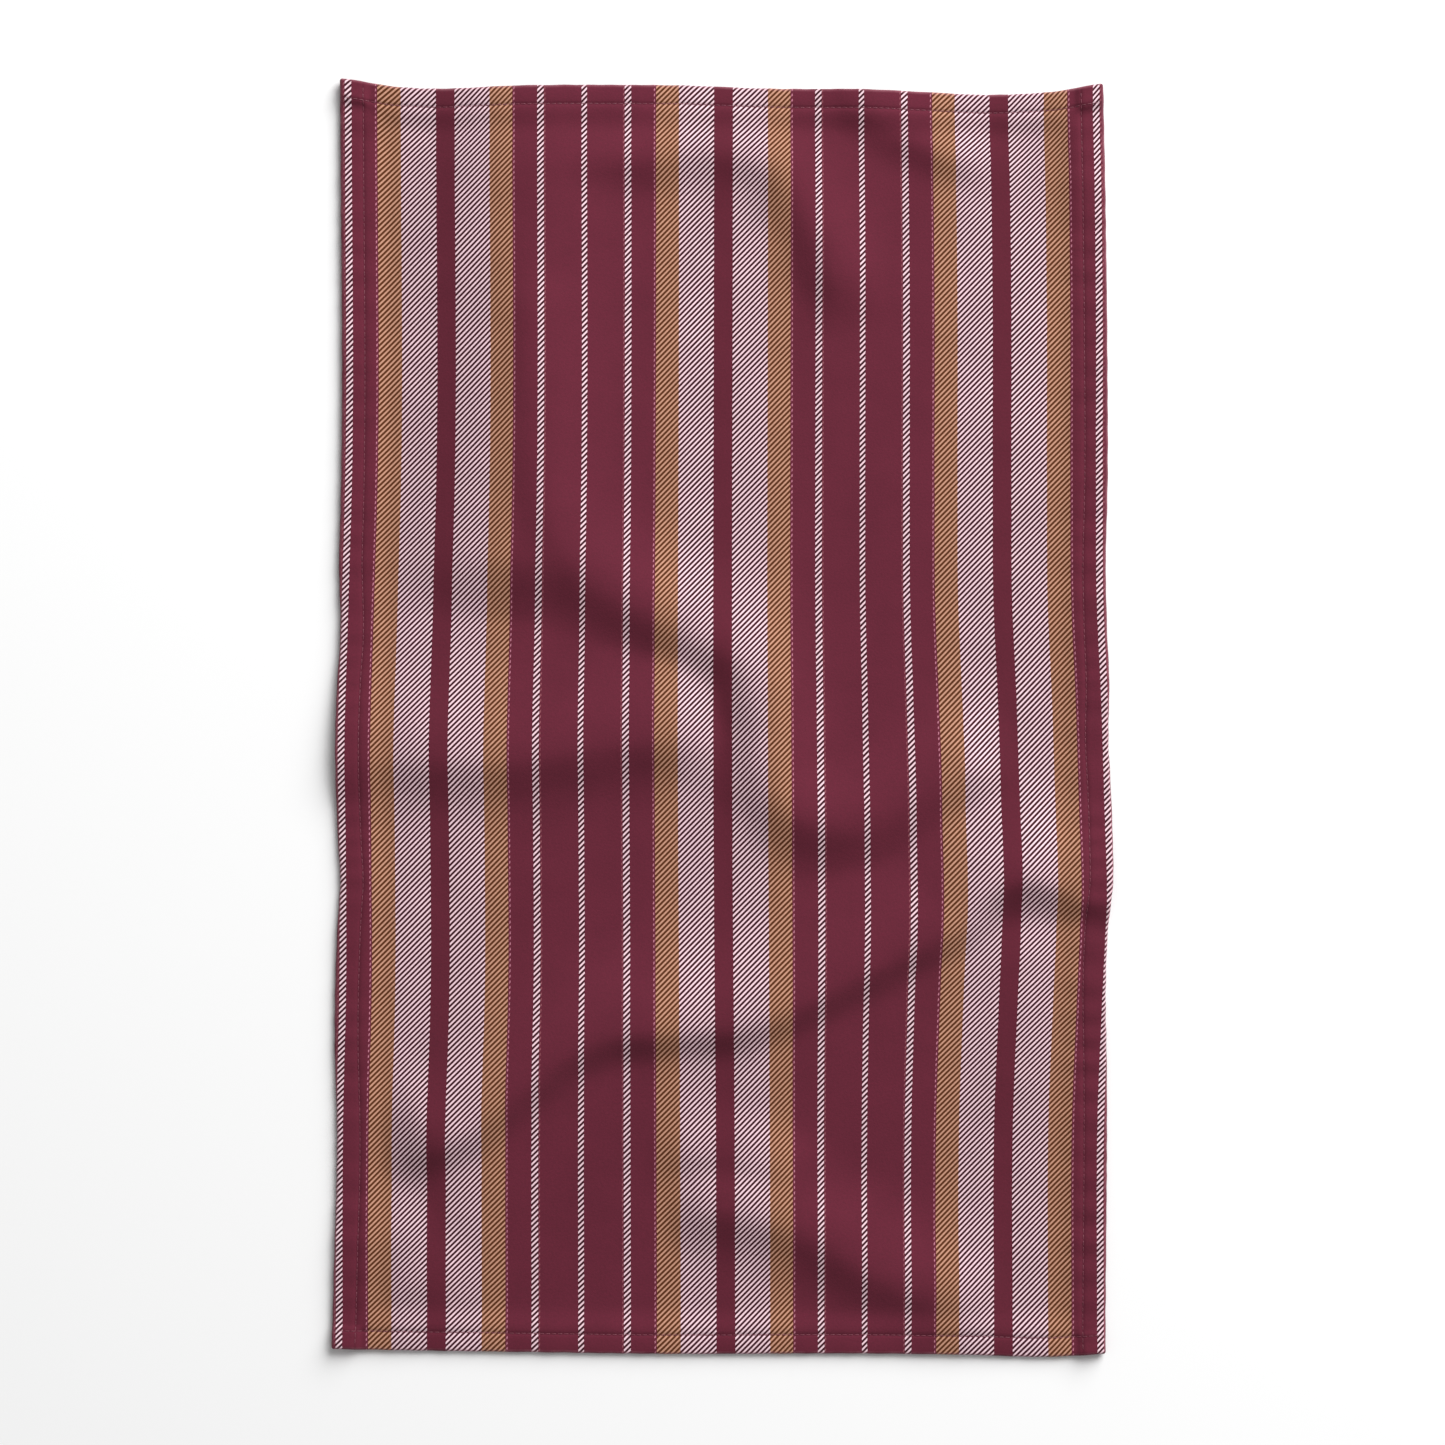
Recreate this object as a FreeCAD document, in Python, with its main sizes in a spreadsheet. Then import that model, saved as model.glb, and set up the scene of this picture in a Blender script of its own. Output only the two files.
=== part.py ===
import FreeCAD, Part
import Sketcher
import math
import os

# A woven golf towel lying loosely on a flat surface, face up.
# +X runs across the towel, +Y along it and +Z up. The origin is the middle of the surface it lies on.
# The towel is one cloth. Its four margins are turned under twice, and each is held by a lockstitch
# seam of two threads: the needle thread lies in a furrow of the face, the bobbin thread in one of the back.

os.makedirs("parts", exist_ok=True)
doc = FreeCAD.newDocument("golf_towel")


# ---------------------------------------------------------------- driving dimensions, in millimetres

DIMENSIONS = [
    ("towel_width", "381"),
    ("laid_length", "630"),
    ("cloth_thickness", "0.8"),
    ("ply_gap", "0.1"),
    ("side_hem_depth", "13"),
    ("end_hem_depth", "11"),
    ("side_seam_inset", "11.5"),
    ("end_seam_inset", "9.5"),
    ("raw_edge_inset", "2"),
    ("butt_gap", "0.2"),
    ("thread_diameter", "0.4"),
    ("thread_sink", "0.25"),
    ("furrow_radius", "0.45"),
    ("furrow_sink", "0.1"),
    ("seam_crossing_gap", "1"),
    ("flat_border", "5"),
    ("overcut", "2"),
    # Sizes that follow from the ones above.
    ("hem_height", "=3 * cloth_thickness + 2 * ply_gap"),
    ("outer_fold_radius", "=hem_height / 2"),
    ("inner_fold_radius", "=cloth_thickness + ply_gap / 2"),
    ("panel_inset", "=outer_fold_radius + ply_gap / 2"),
    ("window_width", "=towel_width - 2 * side_hem_depth - 2 * flat_border"),
    ("window_length", "=laid_length - 2 * end_hem_depth - 2 * flat_border"),
    ("side_hem_length", "=laid_length - 2 * end_hem_depth - 2 * butt_gap"),
    ("end_hem_length", "=towel_width"),
    ("side_needle_length", "=laid_length - 2 * end_seam_inset - 2 * seam_crossing_gap"),
    ("end_needle_length", "=towel_width - 2 * panel_inset"),
    ("side_bobbin_length", "=side_hem_length"),
    ("end_bobbin_length", "=end_hem_length"),
]

dims = doc.addObject("Spreadsheet::Sheet", "dims")
for row, (alias, value) in enumerate(DIMENSIONS, start=1):
    dims.set(f"A{row}", alias)
    dims.set(f"B{row}", value)
    dims.setAlias(f"B{row}", alias)
doc.recompute()


def size(alias):
    """The value of one cell of the sheet."""
    return float(dims.get(alias))


# Every side of the towel is the same section, drawn from its outer edge inwards along local +X and
# then turned about Z. "across" names the towel's size from this side to the one opposite, and "along"
# its size along this side.
SIDES = {
    "left": {"kind": "side", "turn": 0, "place": "x", "sign": -1,
             "across": "towel_width", "along": "laid_length"},
    "right": {"kind": "side", "turn": 180, "place": "x", "sign": 1,
              "across": "towel_width", "along": "laid_length"},
    "top": {"kind": "end", "turn": -90, "place": "y", "sign": 1,
            "across": "laid_length", "along": "towel_width"},
    "bottom": {"kind": "end", "turn": 90, "place": "y", "sign": -1,
               "across": "laid_length", "along": "towel_width"},
}
ALONG_SIDE = {"side": FreeCAD.Rotation(FreeCAD.Vector(1, 0, 0), -90),
              "end": FreeCAD.Rotation(FreeCAD.Vector(0, 1, 0), 90)}
UP = FreeCAD.Vector(0, 0, 1)


# ---------------------------------------------------------------- hems

def sketch_on(body, name, role):
    """A new sketch on one of the body's own origin planes."""
    plane = next(feature for feature in body.Origin.OriginFeatures if feature.Role == role)
    sketch = body.newObject("Sketcher::SketchObject", name)
    sketch.AttachmentSupport = [(plane, "")]
    sketch.MapMode = "FlatFace"
    return sketch


def drive(sketch, formula, *constraint):
    """Add a dimension to a sketch and bind it to the sheet."""
    number = sketch.addConstraint(Sketcher.Constraint(*constraint))
    sketch.setExpression(f"Constraints[{number}]", formula)


def hem_path(body, kind):
    """The middle line of the turned cloth: outer fold, bottom ply, inner fold, middle ply."""
    thickness = size("cloth_thickness")
    outer_radius = size("outer_fold_radius")
    inner_radius = (thickness + size("ply_gap")) / 2
    inner_centre = size(f"{kind}_hem_depth") - size("inner_fold_radius")
    middle_ply = thickness / 2 + 2 * inner_radius

    def point(across, up):
        return FreeCAD.Vector(across, up, 0)

    path = sketch_on(body, f"{body.Name}_path", "XZ_Plane")
    outer_circle = Part.Circle(point(outer_radius, outer_radius), UP, outer_radius - thickness / 2)
    inner_circle = Part.Circle(point(inner_centre, thickness / 2 + inner_radius), UP, inner_radius)
    outer_fold = path.addGeometry(Part.ArcOfCircle(outer_circle, math.pi / 2, 3 * math.pi / 2))
    bottom_ply = path.addGeometry(
        Part.LineSegment(point(outer_radius, thickness / 2), point(inner_centre, thickness / 2)))
    inner_fold = path.addGeometry(Part.ArcOfCircle(inner_circle, -math.pi / 2, math.pi / 2))
    turned_ply = path.addGeometry(
        Part.LineSegment(point(inner_centre, middle_ply), point(size("raw_edge_inset"), middle_ply)))

    start, end, centre, origin = 1, 2, 3, -1
    for first, second in ((outer_fold, bottom_ply), (bottom_ply, inner_fold), (inner_fold, turned_ply)):
        path.addConstraint(Sketcher.Constraint("Tangent", first, end, second, start))
    path.addConstraint(Sketcher.Constraint("Horizontal", bottom_ply))
    path.addConstraint(Sketcher.Constraint("Horizontal", turned_ply))
    path.addConstraint(Sketcher.Constraint("Vertical", outer_fold, centre, outer_fold, start))
    drive(path, "(dims.hem_height - dims.cloth_thickness) / 2",
          "Radius", outer_fold, outer_radius - thickness / 2)
    drive(path, "(dims.cloth_thickness + dims.ply_gap) / 2", "Radius", inner_fold, inner_radius)
    drive(path, "dims.cloth_thickness / 2", "DistanceY", origin, 1, bottom_ply, start, thickness / 2)
    drive(path, "dims.outer_fold_radius", "DistanceX", origin, 1, outer_fold, centre, outer_radius)
    drive(path, f"dims.{kind}_hem_depth - dims.inner_fold_radius",
          "DistanceX", origin, 1, inner_fold, centre, inner_centre)
    drive(path, "dims.raw_edge_inset", "DistanceX", origin, 1, turned_ply, end, size("raw_edge_inset"))
    return path


def hem_profile(body, kind):
    """The cloth's own section, a long thin rectangle, where the hem takes over from the panel."""
    half_length = size(f"{kind}_hem_length") / 2
    low = size("hem_height") - size("cloth_thickness")
    high = size("hem_height")
    profile = sketch_on(body, f"{body.Name}_profile", "YZ_Plane")
    profile.setExpression("AttachmentOffset.Base.z", "dims.outer_fold_radius")
    corners = [FreeCAD.Vector(-half_length, low, 0), FreeCAD.Vector(half_length, low, 0),
               FreeCAD.Vector(half_length, high, 0), FreeCAD.Vector(-half_length, high, 0)]
    lines = [profile.addGeometry(Part.LineSegment(corners[i], corners[(i + 1) % 4])) for i in range(4)]
    start, end, origin = 1, 2, -1
    for index, line in enumerate(lines):
        following = lines[(index + 1) % 4]
        profile.addConstraint(Sketcher.Constraint("Coincident", line, end, following, start))
        profile.addConstraint(Sketcher.Constraint("Horizontal" if index % 2 == 0 else "Vertical", line))
    drive(profile, f"dims.{kind}_hem_length", "DistanceX", lines[0], start, lines[0], end, 2 * half_length)
    drive(profile, f"dims.{kind}_hem_length / 2", "DistanceX", origin, 1, lines[0], end, half_length)
    drive(profile, "dims.hem_height - dims.cloth_thickness",
          "DistanceY", origin, 1, lines[0], start, low)
    drive(profile, "dims.cloth_thickness", "DistanceY", lines[1], start, lines[1], end, high - low)
    return profile


def turned_cloth(side):
    """One turned and tucked margin, swept along the middle line of its cloth."""
    kind = SIDES[side]["kind"]
    body = doc.addObject("PartDesign::Body", f"turned_cloth_{side}")
    sweep = body.newObject("PartDesign::AdditivePipe", f"turned_cloth_{side}_sweep")
    sweep.Profile = hem_profile(body, kind)
    sweep.Spine = hem_path(body, kind)
    place_at_side(body, side, FreeCAD.Rotation(UP, SIDES[side]["turn"]))
    return body


def make_hem(side):
    """A margin with the furrow that the bobbin thread presses into its back."""
    spec = SIDES[side]
    length = f"dims.{spec['kind']}_hem_length + 2 * dims.overcut"
    furrow = make_rod(f"bobbin_furrow_{side}", side, "dims.furrow_radius", length, "dims.furrow_sink")
    return cut_out(f"hem_{side}", turned_cloth(side), furrow)


# ---------------------------------------------------------------- placing and cutting

def cut_out(name, base, tool):
    """The base without the tool, which has to take something away."""
    result = doc.addObject("Part::Cut", name)
    result.Label = name
    result.Base = base
    result.Tool = tool
    doc.recompute()
    if not result.Shape.Volume < base.Shape.Volume:
        raise RuntimeError(f"{name} lost nothing to its cut")
    return result


def place_at_side(thing, side, rotation, inset="0"):
    """Turn a piece and set it in from one outer edge of the towel."""
    spec = SIDES[side]
    thing.Placement = FreeCAD.Placement(FreeCAD.Vector(0, 0, 0), rotation)
    thing.setExpression(f"Placement.Base.{spec['place']}",
                        f"{spec['sign']} * (dims.{spec['across']} / 2 - {inset})")
    return thing


def make_rod(name, side, radius, length, height):
    """A round rod lying along a seam line, centred on the side."""
    kind = SIDES[side]["kind"]
    rod = doc.addObject("Part::Cylinder", name)
    rod.Label = name
    rod.setExpression("Radius", radius)
    rod.setExpression("Height", length)
    place_at_side(rod, side, ALONG_SIDE[kind], f"dims.{kind}_seam_inset")
    along = "y" if kind == "side" else "x"
    rod.setExpression(f"Placement.Base.{along}", f"-({length}) / 2")
    rod.setExpression("Placement.Base.z", height)
    return rod


def make_threads(side):
    """The two threads of one seam: needle thread on the face, bobbin thread on the back."""
    kind = SIDES[side]["kind"]
    radius = "dims.thread_diameter / 2"
    needle_height = "dims.hem_height - dims.thread_sink"
    needle = make_rod(f"needle_thread_{side}", side, radius, f"dims.{kind}_needle_length", needle_height)
    bobbin = make_rod(f"bobbin_thread_{side}", side, radius, f"dims.{kind}_bobbin_length",
                      "dims.thread_sink")
    return [needle, bobbin]


# ---------------------------------------------------------------- panel

# The soft waves that the cloth is left in when it is put down. Each has its height, how far it runs
# out on its gentle flank and on its steep one, and the line of its crest over the surface, drawn so
# that the gentle flank is on its right.
WAVES = [
    {"height": 7.5, "gentle": 18, "steep": 13,
     "line": [(150, -12), (113, -27), (64, -51), (40, -49), (20, 0), (10, 29), (-40, 56), (-68, 72),
              (-85, 98), (-94, 154), (-94, 240)]},
    {"height": 8.0, "gentle": 26, "steep": 32, "line": [(-98, 45), (-94, 345)]},
    {"height": 8.0, "gentle": 24, "steep": 13,
     "line": [(10, -8), (-58, -11), (-100, -18), (-235, -19)]},
    {"height": 9.5, "gentle": 22, "steep": 12,
     "line": [(235, -96), (173, -84), (152, -77), (131, -83), (113, -102), (61, -128), (12, -150),
              (-58, -156), (-128, -203), (-175, -220)]},
    {"height": 6.5, "gentle": 17, "steep": 12,
     "line": [(150, -292), (93, -284), (72, -273), (51, -258), (-2, -242), (-40, -240)]},
    {"height": 4.5, "gentle": 15, "steep": 9, "line": [(60, -236), (5, -216), (-50, -219)]},
    {"height": 5.5, "gentle": 15, "steep": 11,
     "line": [(66, 190), (37, 258), (23, 278), (-2, 284), (-100, 276)]},
    {"height": 4.0, "gentle": 12, "steep": 8, "line": [(145, 272), (96, 290), (50, 335)]},
    {"height": 4.0, "gentle": 20, "steep": 20, "line": [(-185, -230), (-130, -310)]},
    {"height": 3.0, "gentle": 15, "steep": 50,
     "line": [(235, -106), (60, -142), (-60, -168), (-175, -232)]},
]
END_FADE = 36.0
CORNER_CUTS = 3
GRID_STEP = 5.0
BORDER_FALL = 24.0
WAVE_FADE = 40.0


def rounded(line):
    """A line with its corners cut off again and again, until it runs smoothly."""
    for _ in range(CORNER_CUTS):
        cut = [line[0]]
        for (x0, y0), (x1, y1) in zip(line, line[1:]):
            cut.append((0.75 * x0 + 0.25 * x1, 0.75 * y0 + 0.25 * y1))
            cut.append((0.25 * x0 + 0.75 * x1, 0.25 * y0 + 0.75 * y1))
        line = cut + [line[-1]]
    return line


def crest_points(wave):
    """A wave's crest as close points (x, y, heading x, heading y, length so far), and its whole length."""
    line = rounded(wave["line"])
    points = []
    run = 0.0
    for (x0, y0), (x1, y1) in zip(line, line[1:]):
        length = math.hypot(x1 - x0, y1 - y0)
        points.append(((x0 + x1) / 2, (y0 + y1) / 2, (x1 - x0) / length, (y1 - y0) / length,
                       run + length / 2))
        run += length
    return points, run


CRESTS = [(wave, *crest_points(wave)) for wave in WAVES]


def smooth_rise(distance, width):
    """0 up to distance 0, 1 from distance width on, with a soft S between."""
    along = min(max(distance / width, 0.0), 1.0)
    return along * along * (3 - 2 * along)


def one_wave(x, y, wave, points, length):
    """The height of one wave at a place: two unlike flanks, fading out towards its two ends."""
    near_x, near_y, ahead_x, ahead_y, run = min(
        points, key=lambda point: (x - point[0]) ** 2 + (y - point[1]) ** 2)
    side = ahead_x * (y - near_y) - ahead_y * (x - near_x)
    along = run + ahead_x * (x - near_x) + ahead_y * (y - near_y)
    spread = wave["gentle"] if side < 0 else wave["steep"]
    taper = smooth_rise(along, END_FADE) * smooth_rise(length - along, END_FADE)
    return wave["height"] * math.exp(-0.5 * (side / spread) ** 2) * taper


def face_height(x, y):
    """The height of the towel's face: flat on the hems, waving freely between them."""
    from_side = size("window_width") / 2 - abs(x)
    from_end = size("window_length") / 2 - abs(y)
    fallen = smooth_rise(from_side, BORDER_FALL) * smooth_rise(from_end, BORDER_FALL)
    free = smooth_rise(from_side, WAVE_FADE) * smooth_rise(from_end, WAVE_FADE)
    # Where two waves meet, the higher one prevails softly.
    wave = sum(one_wave(x, y, *crest) ** 3 for crest in CRESTS) ** (1 / 3)
    rest = size("hem_height") - (size("hem_height") - size("cloth_thickness")) * fallen
    return rest + wave * free


def softened(heights):
    """The inner heights of a grid, each averaged with its neighbours to take off sharp kinks."""
    last_row, last_column = len(heights) - 1, len(heights[0]) - 1
    result = [list(row) for row in heights]
    for i in range(1, last_row):
        for j in range(1, last_column):
            beside = heights[i - 1][j] + heights[i + 1][j] + heights[i][j - 1] + heights[i][j + 1]
            result[i][j] = heights[i][j] / 2 + beside / 8
    return result


def spaced(half_width):
    """Even places from one edge of the panel to the other."""
    count = round(2 * half_width / GRID_STEP)
    return [half_width * (2 * index / count - 1) for index in range(count + 1)]


def waving_faces():
    """The free cloth's two faces: the printed one, and the same a thickness lower."""
    columns = spaced(size("window_width") / 2)
    rows = spaced(size("window_length") / 2)
    heights = softened([[face_height(x, y) for y in rows] for x in columns])
    face = Part.BSplineSurface()
    face.interpolate(heights, columns[0], columns[1] - columns[0], rows[0], rows[1] - rows[0])
    back = face.copy()
    back.translate(-size("cloth_thickness") * UP)
    return [face.toShape(), back.toShape()]


def slab(name, width, length, thickness, base):
    """A flat rectangle of cloth centred on the towel."""
    box = doc.addObject("Part::Box", name)
    box.setExpression("Length", width)
    box.setExpression("Width", length)
    box.setExpression("Height", thickness)
    box.setExpression("Placement.Base.x", f"-({width}) / 2")
    box.setExpression("Placement.Base.y", f"-({length}) / 2")
    box.setExpression("Placement.Base.z", base)
    return box


def flat_border():
    """The panel's margin, which lies flat on the hems."""
    outline = slab("panel_outline", "dims.towel_width - 2 * dims.panel_inset",
                   "dims.laid_length - 2 * dims.panel_inset", "dims.cloth_thickness",
                   "dims.hem_height - dims.cloth_thickness")
    window = slab("panel_window", "dims.window_width", "dims.window_length",
                  "dims.cloth_thickness + 2 * dims.overcut",
                  "dims.hem_height - dims.cloth_thickness - dims.overcut")
    return cut_out("panel_border", outline, window)


def lines_window(face):
    """True for the four narrow faces of the border that look into its window."""
    box = face.BoundBox
    reach_x = max(abs(box.XMin), abs(box.XMax))
    reach_y = max(abs(box.YMin), abs(box.YMax))
    slack = 0.01
    return reach_x < size("window_width") / 2 + slack and reach_y < size("window_length") / 2 + slack


def make_panel():
    """The towel's one cloth between its folds: the furrowed border and the waving cloth as one solid."""
    furrows = doc.addObject("Part::MultiFuse", "needle_furrows")
    furrows.Shapes = [make_rod(f"needle_furrow_{side}", side, "dims.furrow_radius",
                               f"dims.{spec['along']} + 2 * dims.overcut",
                               "dims.hem_height - dims.furrow_sink")
                      for side, spec in SIDES.items()]
    border = cut_out("furrowed_border", flat_border(), furrows)
    outside = [face for face in border.Shape.Faces if not lines_window(face)]
    shell = Part.makeShell(outside + waving_faces())
    shell.sewShape()
    solid = Part.makeSolid(shell)
    if solid.Volume < 0:
        solid.reverse()
    panel = doc.addObject("Part::Feature", "towel_panel")
    panel.Label = "towel_panel"
    panel.Shape = solid
    return panel


# ---------------------------------------------------------------- build, check and write

pieces = [make_panel()]
for side_name in SIDES:
    pieces.append(make_hem(side_name))
    pieces.extend(make_threads(side_name))
doc.recompute()

for item in doc.Objects:
    if "Invalid" in item.State or "Error" in item.State:
        raise RuntimeError(f"{item.Name} did not build: {item.State}")
for piece in pieces:
    if piece.Shape.isNull() or not piece.Shape.isValid():
        raise RuntimeError(f"{piece.Label} has no valid shape")
for piece in pieces:
    piece.Shape.exportStep(f"parts/{piece.Label}.step")
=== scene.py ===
import math

import bmesh
import bpy
import numpy as np
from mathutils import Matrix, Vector


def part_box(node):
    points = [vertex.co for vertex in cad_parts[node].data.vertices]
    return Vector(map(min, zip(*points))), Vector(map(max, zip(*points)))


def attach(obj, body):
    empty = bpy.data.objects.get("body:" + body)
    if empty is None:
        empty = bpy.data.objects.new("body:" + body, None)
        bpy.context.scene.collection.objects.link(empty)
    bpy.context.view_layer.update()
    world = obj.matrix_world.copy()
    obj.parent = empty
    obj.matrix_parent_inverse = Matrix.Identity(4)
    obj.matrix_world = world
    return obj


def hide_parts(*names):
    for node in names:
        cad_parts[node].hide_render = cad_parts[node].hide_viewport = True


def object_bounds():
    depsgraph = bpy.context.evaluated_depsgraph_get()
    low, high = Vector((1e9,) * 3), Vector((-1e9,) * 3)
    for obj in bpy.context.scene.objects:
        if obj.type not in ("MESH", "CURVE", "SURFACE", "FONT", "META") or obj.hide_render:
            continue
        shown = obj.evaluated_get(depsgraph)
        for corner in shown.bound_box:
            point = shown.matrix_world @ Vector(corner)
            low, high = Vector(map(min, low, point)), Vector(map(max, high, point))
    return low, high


# The looks of a striped, hemmed golf towel that lies loosely on a flat floor, face up.
# Metres throughout. +X runs across the towel, +Y along it, +Z up.

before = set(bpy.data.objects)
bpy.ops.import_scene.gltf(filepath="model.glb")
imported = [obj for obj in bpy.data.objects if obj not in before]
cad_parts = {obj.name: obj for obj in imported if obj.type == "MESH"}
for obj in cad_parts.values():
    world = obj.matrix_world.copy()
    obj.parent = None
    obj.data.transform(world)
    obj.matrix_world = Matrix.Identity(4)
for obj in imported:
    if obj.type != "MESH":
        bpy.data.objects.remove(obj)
CAD_LOW, CAD_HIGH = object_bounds()
MM = 0.001


# ---------------------------------------------------------------- sizes, from the frame

def middle(node, axis):
    """The middle of a CAD node along one axis."""
    low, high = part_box(node)
    return (low[axis] + high[axis]) / 2


HALF_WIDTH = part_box("hem_right")[1][0]
HALF_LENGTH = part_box("hem_top")[1][1]
HEM_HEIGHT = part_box("hem_left")[1][2]
SIDE_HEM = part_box("hem_left")[1][0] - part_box("hem_left")[0][0]
END_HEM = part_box("hem_top")[1][1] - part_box("hem_top")[0][1]
SIDE_SEAM = HALF_WIDTH - middle("needle_thread_right", 0)
END_SEAM = HALF_LENGTH - middle("needle_thread_top", 1)

CLOTH = 0.8 * MM
FOLD = HEM_HEIGHT / 2
TUCK_FOLD = 0.85 * MM
RAW_EDGE = 2.0 * MM
CORNER_HEIGHT = 4.3 * MM
CORNER_TUCK = 1.75 * MM


# ---------------------------------------------------------------- small mathematics

def rise(distance, width):
    """0 up to distance 0, 1 from distance width on, with a soft S between."""
    along = np.clip(np.asarray(distance, float) / width, 0.0, 1.0)
    return along * along * (3 - 2 * along)


def bell(distance, width):
    """1 at distance 0, falling off softly within about width."""
    return np.exp(-(np.asarray(distance, float) / width) ** 2)


def along_curve(points, place):
    """A smooth curve through (place, value) points, both in millimetres, read at places in metres."""
    xs = np.array([x for x, _ in points]) * MM
    ys = np.array([y for _, y in points]) * MM
    slopes = np.gradient(ys, xs)
    place = np.clip(np.asarray(place, float), xs[0], xs[-1])
    index = np.clip(np.searchsorted(xs, place) - 1, 0, len(xs) - 2)
    span = xs[index + 1] - xs[index]
    t = (place - xs[index]) / span
    start = (1 + 2 * t) * (1 - t) ** 2 * ys[index] + t * (1 - t) ** 2 * span * slopes[index]
    end = t * t * (3 - 2 * t) * ys[index + 1] + t * t * (t - 1) * span * slopes[index + 1]
    return start + end


def ripple(x, y, pitch, seed):
    """A soft irregular ripple, about -1 to 1, with features of about the pitch: crossed sine waves."""
    random = np.random.default_rng(seed)
    total = np.zeros(np.broadcast(x, y).shape)
    for _ in range(6):
        angle = random.uniform(0, 2 * math.pi)
        stretch = random.uniform(0.7, 1.4)
        phase = random.uniform(0, 2 * math.pi)
        across = x * math.cos(angle) + y * math.sin(angle)
        total = total + np.sin(2 * math.pi * across / (pitch * stretch) + phase)
    return total / 3.5


# ---------------------------------------------------------------- how the towel lies

# The soft waves, in millimetres. Each has its height, how far it runs out on its gentle side and on its
# steep side, and the line of its crest, drawn so that the gentle side is on its right.
WAVES = [
    (7.5, 18, 13, [(150, -12), (113, -27), (89, -41), (64, -51), (40, -49), (26, -35), (20, 0), (10, 29),
                   (-12, 43), (-40, 56), (-68, 72), (-85, 98), (-94, 154), (-94, 240)]),
    (8.0, 26, 32, [(-98, 45), (-97, 150), (-96, 230), (-94, 345)]),
    (8.0, 24, 13, [(10, -8), (-58, -11), (-100, -18), (-142, -18), (-198, -19), (-235, -19)]),
    (9.5, 22, 10, [(235, -96), (200, -92), (173, -84), (152, -77), (131, -83), (113, -102), (89, -114),
                   (61, -128), (33, -142), (12, -150), (-23, -153), (-58, -156), (-79, -165), (-100, -181),
                   (-128, -203), (-175, -220)]),
    (6.5, 17, 12, [(150, -292), (93, -284), (72, -273), (51, -258), (26, -247), (-2, -242), (-40, -240)]),
    (4.5, 15, 9, [(60, -236), (5, -216), (-50, -219)]),
    (5.5, 15, 11, [(66, 190), (50, 232), (37, 258), (23, 278), (-2, 284), (-50, 280), (-100, 276)]),
    (4.0, 12, 8, [(145, 272), (96, 290), (75, 303), (50, 335)]),
    (4.0, 20, 20, [(-185, -230), (-130, -310)]),
    (3.0, 15, 50, [(235, -106), (60, -142), (-60, -168), (-175, -232)]),
    (3.0, 8, 10, [(178, 235), (176, 345)]),
]
END_FADE = 36.0
CREST_STEP = 2.0
WAVE_REACH = 150 * MM


# How far each edge wanders from a straight line: (place along the edge, shift), in millimetres,
# with a shift towards +X on the two sides and towards +Y on the two ends.
LEFT_WANDER = [(-315, -3.7), (-280, -2.7), (-200, -1.2), (-160, -2.2), (-100, -0.7), (-80, 0.5),
               (-60, -0.6), (20, -0.7), (40, 0.6), (80, 0.0), (100, 0.6), (315, 0.6)]
RIGHT_WANDER = [(-315, -1.2), (-160, -0.8), (-140, -1.2), (-100, 0.2), (-80, 2.2), (-60, 2.2),
                (-40, 1.7), (-10, 0.3), (20, 0.7), (40, -0.2), (80, -1.0), (110, -0.2),
                (180, -0.2), (260, -1.2), (315, -2.4)]
TOP_WANDER = [(-190, 2.2), (-178, 0.8), (-168, -1.0), (-150, -2.5), (-100, -1.5), (-20, -1.0),
              (20, -2.5), (70, -3.0), (105, -4.5), (125, -5.5), (155, -4.8), (170, -3.6),
              (180, -1.8), (190, -0.2)]
BOTTOM_WANDER = [(-190, 3.0), (-170, 2.5), (-90, 1.2), (-40, 0.5), (80, 0.5), (120, 0.0),
                 (165, -1.0), (190, 0.6)]

# How far the print is shifted towards +X down the towel, on its left, middle and right thirds.
PRINT_LEFT = [(-305, -1.6), (-190, -1.2), (-140, 0.0), (10, 0.0), (60, 1.4), (110, 2.9), (305, 2.9)]
PRINT_MIDDLE = [(-305, 1.2), (-190, 0.8), (-100, 0.0), (305, 0.0)]
PRINT_RIGHT = [(-305, -2.0), (-190, -1.6), (-140, 0.4), (-90, 2.4), (-40, 1.5), (10, 0.0),
               (60, -2.2), (110, -2.5), (210, -2.6), (260, -3.2), (305, -4.3)]
PRINT_THIRD = 140 * MM
EDGE_PULL = 75 * MM
PUCKER_PITCH = 14.5 * MM


def smooth_line(line):
    """Close, even points on a smooth curve through a crest's points."""
    line = np.array(line, float)
    reach = np.concatenate([[0], np.cumsum(np.hypot(*np.diff(line, axis=0).T))])
    places = np.arange(0, reach[-1], CREST_STEP)
    curve = [along_curve(list(zip(reach, line[:, axis])), places * MM) / MM for axis in (0, 1)]
    points = np.stack(curve, axis=1)
    kernel = np.ones(9) / 9
    padded = np.pad(points, ((4, 4), (0, 0)), mode="edge")
    smooth = [np.convolve(padded[:, axis], kernel, mode="valid") for axis in (0, 1)]
    return np.stack(smooth, axis=1) * MM


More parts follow.
